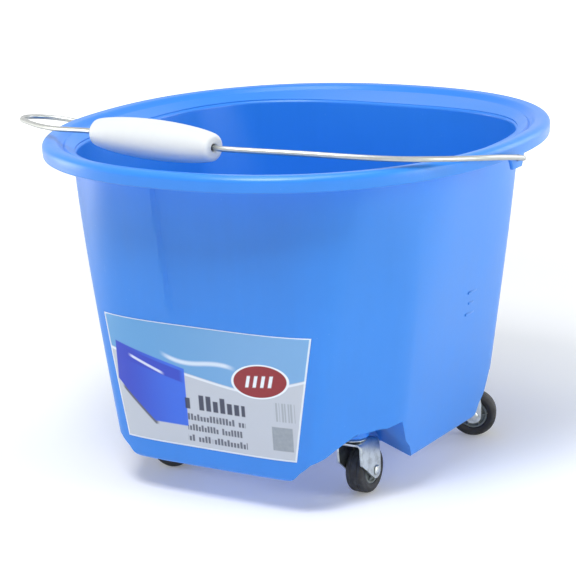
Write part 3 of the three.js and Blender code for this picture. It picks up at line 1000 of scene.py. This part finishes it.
@dataclass
class Bail:
    """The wire: hooked behind each ear, lying over the front of the rim, straight inside the grip."""

    tub: Tub
    radius: float = 2.1
    hook: float = 9.0
    grip_length: float = 122.0
    grip_centre: tuple[float, float, float] = (-25.0, -162.5, 260.0)
    grip_yaw: float = math.radians(170.0)
    right_arm: tuple = (
        (199, -2, 232), (200.5, -10, 234), (198.6, -39, 239.5), (193.5, -65, 243.5), (179, -96, 247.6),
        (159, -121, 250.8), (137, -140, 254), (98, -158, 257.4))
    left_arm: tuple = (
        (-142, -128, 254.5), (-175, -107, 250.8), (-210, -79, 247), (-235, -55, 243.6), (-247, -33, 241),
        (-243, -17, 238.6), (-229, -5, 235.5), (-211, -0.8, 232.6))
    steps: int = 18
    round: int = 20

    def through(self) -> Array:
        """The points that the wire's middle line passes through, right to left."""
        rim = self.tub.rim_half[0]
        z = self.tub.pivot_z
        inside = rim - self.tub.skirt_thickness - 5.5
        hook = np.array([[inside, self.hook, z], [inside, 4, z], [inside + 3, 0.6, z], [rim, 0, z]])
        mirrored = hook[::-1] * np.array([-1, 1, 1])
        half = self.grip_length / 2
        reach = np.array([-half - 8, -half, 0, half, half + 8])[:, None]
        along = np.array([math.cos(self.grip_yaw), math.sin(self.grip_yaw), 0.0])
        middle = np.array(self.grip_centre) + reach * along
        return np.vstack([hook, self.right_arm, middle, self.left_arm, mirrored])

    def line(self) -> Array:
        """A centripetal Catmull-Rom curve through the points.

        Between two points the curve is a cubic whose end slopes come from the points either side, with each
        gap weighted by the square root of its length.
        """
        points = self.through()
        ends = np.vstack([2 * points[:1] - points[1:2], points, 2 * points[-1:] - points[-2:-1]])
        gap = np.linalg.norm(np.diff(ends, axis=0), axis=1)[:, None] ** 0.5
        d0, d1, d2 = gap[:-2], gap[1:-1], gap[2:]
        p0, p1, p2, p3 = ends[:-3], ends[1:-2], ends[2:-1], ends[3:]
        m1 = ((p1 - p0) / d0 - (p2 - p0) / (d0 + d1) + (p2 - p1) / d1) * d1
        m2 = ((p2 - p1) / d1 - (p3 - p1) / (d1 + d2) + (p3 - p2) / d2) * d1
        t = (np.arange(self.steps) / self.steps)[None, :, None]
        a, b, c, d = (v[:, None, :] for v in (p1, p2, m1, m2))
        curve = a + c * t + (3 * (b - a) - 2 * c - d) * t ** 2 + (2 * (a - b) + c + d) * t ** 3
        return np.vstack([curve.reshape(-1, 3), points[-1:]])

    def build(self) -> bpy.types.Object:
        """Carries a circle along the line, with rounded ends."""
        line = self.line()
        run = np.concatenate([[0], np.cumsum(np.linalg.norm(np.diff(line, axis=0), axis=1))])
        lead = self.radius * (1 - np.cos(np.linspace(0.12, np.pi / 2, 6)))
        stations = np.concatenate([lead, run[(run > lead[-1] + 0.3) & (run < run[-1] - lead[-1] - 0.3)],
                                   (run[-1] - lead)[::-1]])
        line = np.stack([np.interp(stations, run, line[:, k]) for k in range(3)], axis=1)
        from_end = np.minimum(stations, stations[-1] + lead[0] - stations)
        scale = np.sqrt(np.clip(1 - np.clip(1 - from_end / self.radius, 0, 1) ** 2, 0.02, 1))[:, None, None]
        ahead = np.gradient(line, axis=0)
        ahead /= np.linalg.norm(ahead, axis=1)[:, None]
        side = np.cross(ahead, [0.0, 0.0, 1.0])
        side /= np.linalg.norm(side, axis=1)[:, None]
        up = np.cross(side, ahead)
        angle = (TAU * np.arange(self.round) / self.round)[None, :, None]
        ring = np.cos(angle) * side[:, None] + np.sin(angle) * up[:, None]
        rows = line[:, None, :] + self.radius * scale * ring
        obj = skin("bail_rod", rows, Ends.FANS)
        shade_smooth(obj, 60.0)
        return finish_piece(obj, "bail", "wire_steel", DrawnWire().material(), "bail_wire")


@dataclass
class Grip:
    """The turned white sleeve on the middle of the wire, with a bore, rounded ends and a fine mould line."""

    bail: Bail
    radius: float = 15.0
    end_radius: float = 9.0
    edge: float = 2.2
    columns: int = 96

    def build(self) -> bpy.types.Object:
        """Turns a barrel: its radius swells with sin(pi k)^0.55 from end to end, and its ends are rounded."""
        half = self.bail.grip_length / 2
        bore = self.bail.radius + 0.7
        k = np.linspace(0.0, 1.0, 90)
        k = k * k * (3 - 2 * k)
        swell = self.end_radius + (self.radius - self.end_radius) * np.sin(np.pi * k) ** 0.55
        height = -half + 2 * half * k
        ends = np.minimum(height + half, half - height)
        rounded = np.clip(1 - ends / self.edge, 0, 1)
        swell = swell - self.edge * (1 - np.sqrt(1 - rounded ** 2))
        low = np.array([[bore + 0.9, -half], [bore, -half + 0.9]])
        high = low[::-1] * np.array([1, -1])
        barrel = np.stack([swell, height], axis=1)
        profile = np.vstack([low[::-1][:1], low[:1], barrel, high[1:], high[:1]])
        profile = np.vstack([profile, densify([high[0], low[1]], 20.0)[1:-1]])
        obj = turned("grip_sleeve", profile, self.columns)
        co = np.empty(len(obj.data.vertices) * 3)
        obj.data.vertices.foreach_get("co", co)
        co = co.reshape(-1, 3)
        reach = np.hypot(co[:, 0], co[:, 1])
        turn = np.arctan2(co[:, 1], co[:, 0])
        outside = reach > (bore + 1.5) * MM
        seam = np.exp(-((np.abs(np.sin(turn)) * reach / MM) / 0.35) ** 2) * outside * 0.12 * MM
        co[:, :2] *= (1 - seam / np.maximum(reach, MM))[:, None]
        obj.data.vertices.foreach_set("co", co.ravel())
        centre = Vector(self.bail.grip_centre) * MM
        place(obj, Matrix.Translation(centre) @ Matrix.Rotation(self.bail.grip_yaw, 4, "Z")
              @ Matrix.Rotation(math.pi / 2, 4, "Y") @ Matrix.Rotation(math.radians(35.0), 4, "Z"))
        shade_smooth(obj, 40.0)
        return finish_piece(obj, "grip", "white_plastic", WHITE.material(), "bail_grip")


# ---- casters -----------------------------------------------------------------------------------------

@dataclass
class Caster:
    """One swivel caster, built about its stem on Z with its wheel trailing along +X and its axle along Y."""

    name: str
    side: tuple[int, int]
    heading: float
    stem_at: tuple[float, float] = (93.0, 85.0)
    wheel_radius: float = 19.0
    axle_z: float = -8.5
    trail: float = 15.0
    tread_width: float = 16.0
    hub_radius: float = 11.5
    axle_radius: float = 2.2
    fork_gap: float = 18.0
    fork_sheet: float = 1.8
    crown_z: float = 18.0
    race_bottom: float = 20.2
    race_top: float = 22.8
    dome: float = 0.010
    bend: float = 4.0
    gap: float = 0.35
    stem_radius: float = 4.0
    stem_top: float = 41.0
    eye_radius: float = 6.6
    ribs: int = 6

    @property
    def turn(self) -> Matrix:
        """From the caster's own frame to the tub's."""
        x, y = (s * a * MM for s, a in zip(self.side, self.stem_at))
        return Matrix.Translation((x, y, 0)) @ Matrix.Rotation(math.radians(self.heading), 4, "Z")

    @property
    def on_axle(self) -> Matrix:
        """From a shape turned about Z to the axle's line."""
        at = Vector((self.trail, 0, self.axle_z)) * MM
        return self.turn @ Matrix.Translation(at) @ Matrix.Rotation(math.pi / 2, 4, "X")

    def label(self, piece: str) -> str:
        """A piece's name with this caster's."""
        return f"{piece}_{self.name}"

    def stem(self) -> bpy.types.Object:
        """The pressed-in stem: a riveted foot under the crown, a collar and a tapered tip."""
        r, z = self.stem_radius, self.crown_z
        profile = np.vstack([
            [[0.01, z - 1.6]], arc((4.4, z - 0.6), 1.0, 270, 360, 4), [[5.4, z - self.gap]],
            [[r - 0.4, z - self.gap], [r - 0.4, self.race_top], [r, self.race_top + 1]],
            densify([[r, self.race_top + 2], [r, 36.0]], 4.0),
            arc((r - 2.0, self.stem_top - 2.0), 2.0, 0, 90, 5),
            [[0.01, self.stem_top]],
        ])
        return turned(self.label("caster_stem"), profile, 40, joined=False)

    def race(self) -> bpy.types.Object:
        """The ball race: a dished plate with a rolled edge."""
        bore, radius = self.stem_radius - 0.05, 10.0
        low, top = self.race_bottom, self.race_top
        profile = np.vstack([
            [[bore, low], [6.0, low]], arc((radius - 0.55, low + 0.55), 0.55, 270, 380, 6),
            [[8.9, low + 1.3], [8.2, top - 0.5]], arc((7.2, top - 0.7), 0.7, 40, 90, 4),
            [[5.4, top], [bore, top]],
            [[bore, low + 1.3]],
        ])
        return turned(self.label("ball_race"), profile, 56)

    def fork(self) -> bpy.types.Object:
        """The pressed hood.

        Along the sheet's cross-section runs one line: up a cheek, round a bend, over the crown, round the
        other bend and down the second cheek. At each height the sheet reaches from a back edge to a front
        edge that close in towards the eye round the axle, and the crown is slightly domed along its length.
        """
        half = self.fork_gap / 2 + self.fork_sheet
        top = self.crown_z + self.fork_sheet
        tip = self.axle_z - self.eye_radius + 0.05
        cheek_z = tip + (top - self.bend - tip) * np.linspace(0, 1, 34) ** 1.35
        up = np.stack([np.full_like(cheek_z, -half), cheek_z], axis=1)
        bend = arc((-half + self.bend, top - self.bend), self.bend, 180, 90, 8)[1:]
        over = np.stack([np.linspace(-half + self.bend, 0, 7)[1:], np.full(6, top)], axis=1)
        half_line = np.vstack([up, bend, over])
        line = np.vstack([half_line, half_line[-2::-1] * np.array([-1, 1])])
        y, z = line[:, :1], line[:, 1:]
        drop = np.clip(self.axle_z - z, 0, self.eye_radius - 0.02)
        eye = np.sqrt(self.eye_radius ** 2 - drop ** 2)
        back = np.interp(z, [-13.0, -11.5, 2.0, self.crown_z, top], [10.2, 8.0, -8.0, -9.0, -9.0])
        back = np.where(z < -13.0, self.trail - eye, back)
        front = np.interp(z, [self.axle_z, 3.0, top], [self.trail + self.eye_radius, 22.0, 20.0])
        front = np.where(z < self.axle_z, self.trail + eye, front)
        k = np.linspace(0, 1, 30)[None, :]
        x = back + (front - back) * k
        sink = self.dome * (x - 3.0) ** 2 * (z - tip) / (top - tip)
        sheet = np.stack([x, np.broadcast_to(y, x.shape), z - sink], axis=-1)
        obj = skin(self.label("caster_fork"), sheet, Ends.OPEN, round_columns=False)
        wall = obj.modifiers.new("sheet", "SOLIDIFY")
        wall.thickness, wall.offset = self.fork_sheet * MM, -1.0
        bevel = obj.modifiers.new("edge", "BEVEL")
        bevel.width, bevel.segments, bevel.limit_method = 0.45 * MM, 2, "ANGLE"
        bevel.angle_limit = math.radians(50)
        solid = bpy.data.meshes.new_from_object(obj.evaluated_get(bpy.context.evaluated_depsgraph_get()))
        obj.modifiers.clear()
        obj.data = solid
        at = Matrix.Translation((self.trail * MM, 0, self.axle_z * MM))
        axle = at @ Matrix.Rotation(math.pi / 2, 4, "X")
        for radius, low, high, move in (
            (self.stem_radius, self.crown_z - 3, self.crown_z + 5, Matrix.Identity(4)),
            (self.axle_radius + self.gap, -20, 20, axle),
        ):
            hole = np.array([[0.01, low], [radius, low], [radius, high], [0.01, high]])
            combine(obj, place(turned("hole", hole, 32, joined=False), move), Cut.TAKE)
        return obj

    def axle(self) -> bpy.types.Object:
        """The riveted axle with a domed head outside each cheek."""
        face = self.fork_gap / 2 + self.fork_sheet + self.gap
        dome = np.array([[4.0, face], [4.0, face + 0.35], [3.6, face + 0.85], [2.8, face + 1.2],
                         [1.6, face + 1.42], [0.01, face + 1.5]])
        shaft = densify([[self.axle_radius, -face], [self.axle_radius, face]], 4.0)
        profile = np.vstack([dome[::-1] * np.array([1, -1]), shaft, dome])
        return turned(self.label("axle_rivet"), profile, 40, joined=False)

    def hub(self) -> bpy.types.Object:
        """The moulded hub: a boss, a sunk web with radial ribs, and a rim band under the tyre."""
        half = self.tread_width / 2
        bore, rim = self.axle_radius + self.gap, self.hub_radius
        face = np.array([
            [bore, half - 0.3], [bore + 0.3, half], [4.7, half], [5.2, half - 0.3], [5.7, half - 2.4],
            [6.4, half - 2.4], [7.4, half - 2.4], [8.6, half - 2.4], [9.4, half - 2.4],
            [9.8, half - 1.2], [10.2, half - 1.0], [rim - 0.3, half - 1.0], [rim, half - 1.3]])
        sunk = (face[:, 1] < half - 2.3).astype(float)
        profile = np.vstack([face, densify([[rim, half - 1.3], [rim, -half + 1.3]], 3.0)[1:-1][:5],
                             face[::-1] * np.array([1, -1])])
        web = np.concatenate([sunk, np.zeros(len(profile) - 2 * len(sunk)), -sunk[::-1]])

        def ribs(row: Array, angle: Array) -> Array:
            """Ribs stand up from the sunk web: narrow smooth crests, evenly round."""
            crest = np.clip((np.cos(angle * self.ribs) - 0.86) / 0.1, 0, 1)
            return web[row] * 1.5 * crest
        return turned(self.label("wheel_hub"), profile, 120, wave=ribs)

    def tyre(self) -> bpy.types.Object:
        """The tread: rounded shoulders, a slightly crowned face with two fine grooves, and a mould line."""
        half = self.tread_width / 2
        inner, outer = self.hub_radius + self.gap, self.wheel_radius
        face_z = np.linspace(-half + 3.2, half - 3.2, 35)
        face = outer - 0.05 - 0.35 * (face_z / half) ** 2
        for at in (-2.6, 2.6):
            face = face - 0.55 * np.exp(-((face_z - at) / 0.42) ** 2)
        side = np.array([[inner, half - 0.8], [12.6, half - 0.35], [14.0, half - 0.25], [14.4, half],
                         [15.8, half], [16.4, half - 0.35], [17.3, half - 0.75], [18.0, half - 1.4],
                         [18.5, half - 2.2]])
        profile = np.vstack([side * np.array([1, -1]), np.stack([face, face_z], axis=1), side[::-1]])
        profile = np.vstack([profile, densify([[inner, half - 0.8], [inner, -half + 0.8]], 4.0)[1:-1]])
        return turned(self.label("wheel_tyre"), profile, 96)

    def build(self) -> list[bpy.types.Object]:
        """Builds, places and dresses the six pieces."""
        zinc = ZincPlate().material()
        swivel, wheel = f"swivel_{self.name}", f"wheel_{self.name}"
        axle_at = self.on_axle.translation / MM
        rubber = Rubber().material(axle_at)
        plan = (
            (self.stem, self.turn, "bucket", "zinc_steel", zinc, "stem"),
            (self.race, self.turn, "bucket", "zinc_steel", zinc, "raceway"),
            (self.fork, self.turn, swivel, "zinc_steel", zinc, "fork"),
            (self.axle, self.on_axle, swivel, "zinc_steel", zinc, "axle"),
            (self.hub, self.on_axle, wheel, "grey_hub", HUB.material(), "hub"),
            (self.tyre, self.on_axle, wheel, "black_tyre", rubber, "tyre"),
        )
        made = []
        for shape, move, body, slot, material, node in plan:
            obj = place(shape(), move)
            shade_smooth(obj, 38.0)
            made.append(finish_piece(obj, body, slot, material, f"{node}_{self.name}"))
        return made


CASTERS = (
    Caster("front_right", (1, -1), 91.0),
    Caster("rear_right", (1, 1), 24.0),
    Caster("rear_left", (-1, 1), 48.0),
    Caster("front_left", (-1, -1), 6.0),
)


# ---- the stage ---------------------------------------------------------------------------------------

COOL = (0.86, 0.94, 1.0)
WARM = (1.0, 0.98, 0.84)


@dataclass(frozen=True)
class Softbox:
    """An area light: where it stands, what it faces, its size and its power."""

    name: str
    at: tuple[float, float, float]
    target: tuple[float, float, float]
    size: tuple[float, float]
    power: float
    colour: Colour = (1.0, 1.0, 1.0)

    def build(self) -> None:
        """Adds the light."""
        data = bpy.data.lights.new(self.name, "AREA")
        data.shape, data.size, data.size_y = "RECTANGLE", *self.size
        data.energy, data.color = self.power, self.colour
        lamp = bpy.data.objects.new(self.name, data)
        bpy.context.scene.collection.objects.link(lamp)
        lamp.location = self.at
        lamp.rotation_euler = (Vector(self.target) - Vector(self.at)).to_track_quat("-Z", "Y").to_euler()


@dataclass
class Stage:
    """Floor, light and camera."""

    azimuth: float = 0.55
    distance: float = 1.6977
    height: float = 0.5548
    pan: float = 0.0074
    pitch: float = 0.2562
    roll: float = -0.0378
    lens: float = 134.8
    sky: float = 0.15
    glow: tuple[float, float] = (0.2, 0.95)
    floor_half: float = 6000.0
    boxes: tuple[Softbox, ...] = (
        Softbox("top_box", (0.1, -0.25, 1.6), (0, 0, 0.1), (0.9, 0.9), 9.5, COOL),
        Softbox("front_box", (0.1, -0.8, 1.4), (0, 0, 0.12), (0.5, 0.5), 15.0),
        Softbox("left_box", (-1.3, -0.25, 0.3), (-0.1, 0, 0.12), (0.5, 0.7), 5.5, WARM),
        Softbox("right_box", (1.5, 0.1, 0.45), (0, 0, 0.12), (0.6, 1.1), 8.8, WARM),
        Softbox("back_box", (0.95, 1.5, 0.7), (0, 0, 0.15), (0.9, 1.0), 8.0),
    )

    def floor(self) -> None:
        """A plain pale floor at the height the wheels stand on, with a painted glow: faint near the tub,
        strong further out.
        """
        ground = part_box("tyre_front_right")[0].z
        half = self.floor_half
        rows = np.array([[[-half, -half, 0], [half, -half, 0]], [[-half, half, 0], [half, half, 0]]])
        rows[..., 2] = ground / MM
        obj = skin("floor", rows, Ends.OPEN, round_columns=False)
        g = Graph("pale_floor")
        _, x, y, _ = g.place()
        near, far = self.glow
        # painted glow: the floor emits light itself, 0.2 near the tub rising to 0.95 further out, so its far
        # part turns near white
        glow = g.mix(((x * x + y * y) ** 0.5).rise(450.0, 1700.0), (near, near, near), (far, far, far))
        paint = g.dress(srgb(238, 239, 242), 0.6, Emission_Color=glow, Emission_Strength=1.0)
        obj.data.materials.append(paint)

    def light(self) -> None:
        """An even pale sky and the soft boxes."""
        world = bpy.data.worlds.new("studio")
        bpy.context.scene.world = world
        world.use_nodes = True
        tree = world.node_tree
        seen = tree.nodes.new("ShaderNodeBackground")
        lit = tree.nodes["Background"]
        seen.inputs[0].default_value = lit.inputs[0].default_value = (1, 1, 1, 1)
        seen.inputs[1].default_value, lit.inputs[1].default_value = 1.0, self.sky
        rays = tree.nodes.new("ShaderNodeLightPath")
        choice = tree.nodes.new("ShaderNodeMixShader")
        bright = tree.nodes.new("ShaderNodeMath")
        bright.operation = "MAXIMUM"
        tree.links.new(rays.outputs["Is Camera Ray"], bright.inputs[0])
        tree.links.new(rays.outputs["Is Glossy Ray"], bright.inputs[1])
        tree.links.new(bright.outputs[0], choice.inputs[0])
        tree.links.new(lit.outputs[0], choice.inputs[1])
        tree.links.new(seen.outputs[0], choice.inputs[2])
        tree.links.new(choice.outputs[0], tree.nodes["World Output"].inputs["Surface"])
        for soft in self.boxes:
            soft.build()

    def camera(self) -> None:
        """The camera, from its bearing, distance, height and the three small turns."""
        data = bpy.data.cameras.new("camera")
        data.lens, data.sensor_width, data.clip_end = self.lens, 36.0, 50.0
        obj = bpy.data.objects.new("camera", data)
        bpy.context.scene.collection.objects.link(obj)
        yaw = self.azimuth + self.pan
        at = Vector((self.distance * math.sin(self.azimuth), -self.distance * math.cos(self.azimuth),
                     self.height))
        turn = (Matrix.Rotation(yaw, 4, "Z") @ Matrix.Rotation(math.pi / 2 - self.pitch, 4, "X")
                @ Matrix.Rotation(self.roll, 4, "Z"))
        obj.matrix_world = Matrix.Translation(at) @ turn
        bpy.context.scene.camera = obj

    def build(self) -> None:
        """Builds everything that isn't the object."""
        self.camera()
        self.floor()
        self.light()
        bpy.context.scene.view_settings.view_transform = "Standard"


def report(pieces: Iterable[bpy.types.Object]) -> None:
    """Logs each piece with how many faces it has."""
    for piece in pieces:
        log.info("%s: %d faces", piece.name, len(piece.data.polygons))


def main() -> None:
    """Builds the object and its stage, in order."""
    logging.basicConfig(level=logging.INFO, format="%(name)s %(message)s")
    Stage().build()
    tub = Tub()
    report([tub.build([caster.side for caster in CASTERS]), Label(tub).build()])
    bail = Bail(tub)
    report([bail.build(), Grip(bail).build()])
    for caster in CASTERS:
        report(caster.build())


if __name__ == "__main__":
    main()
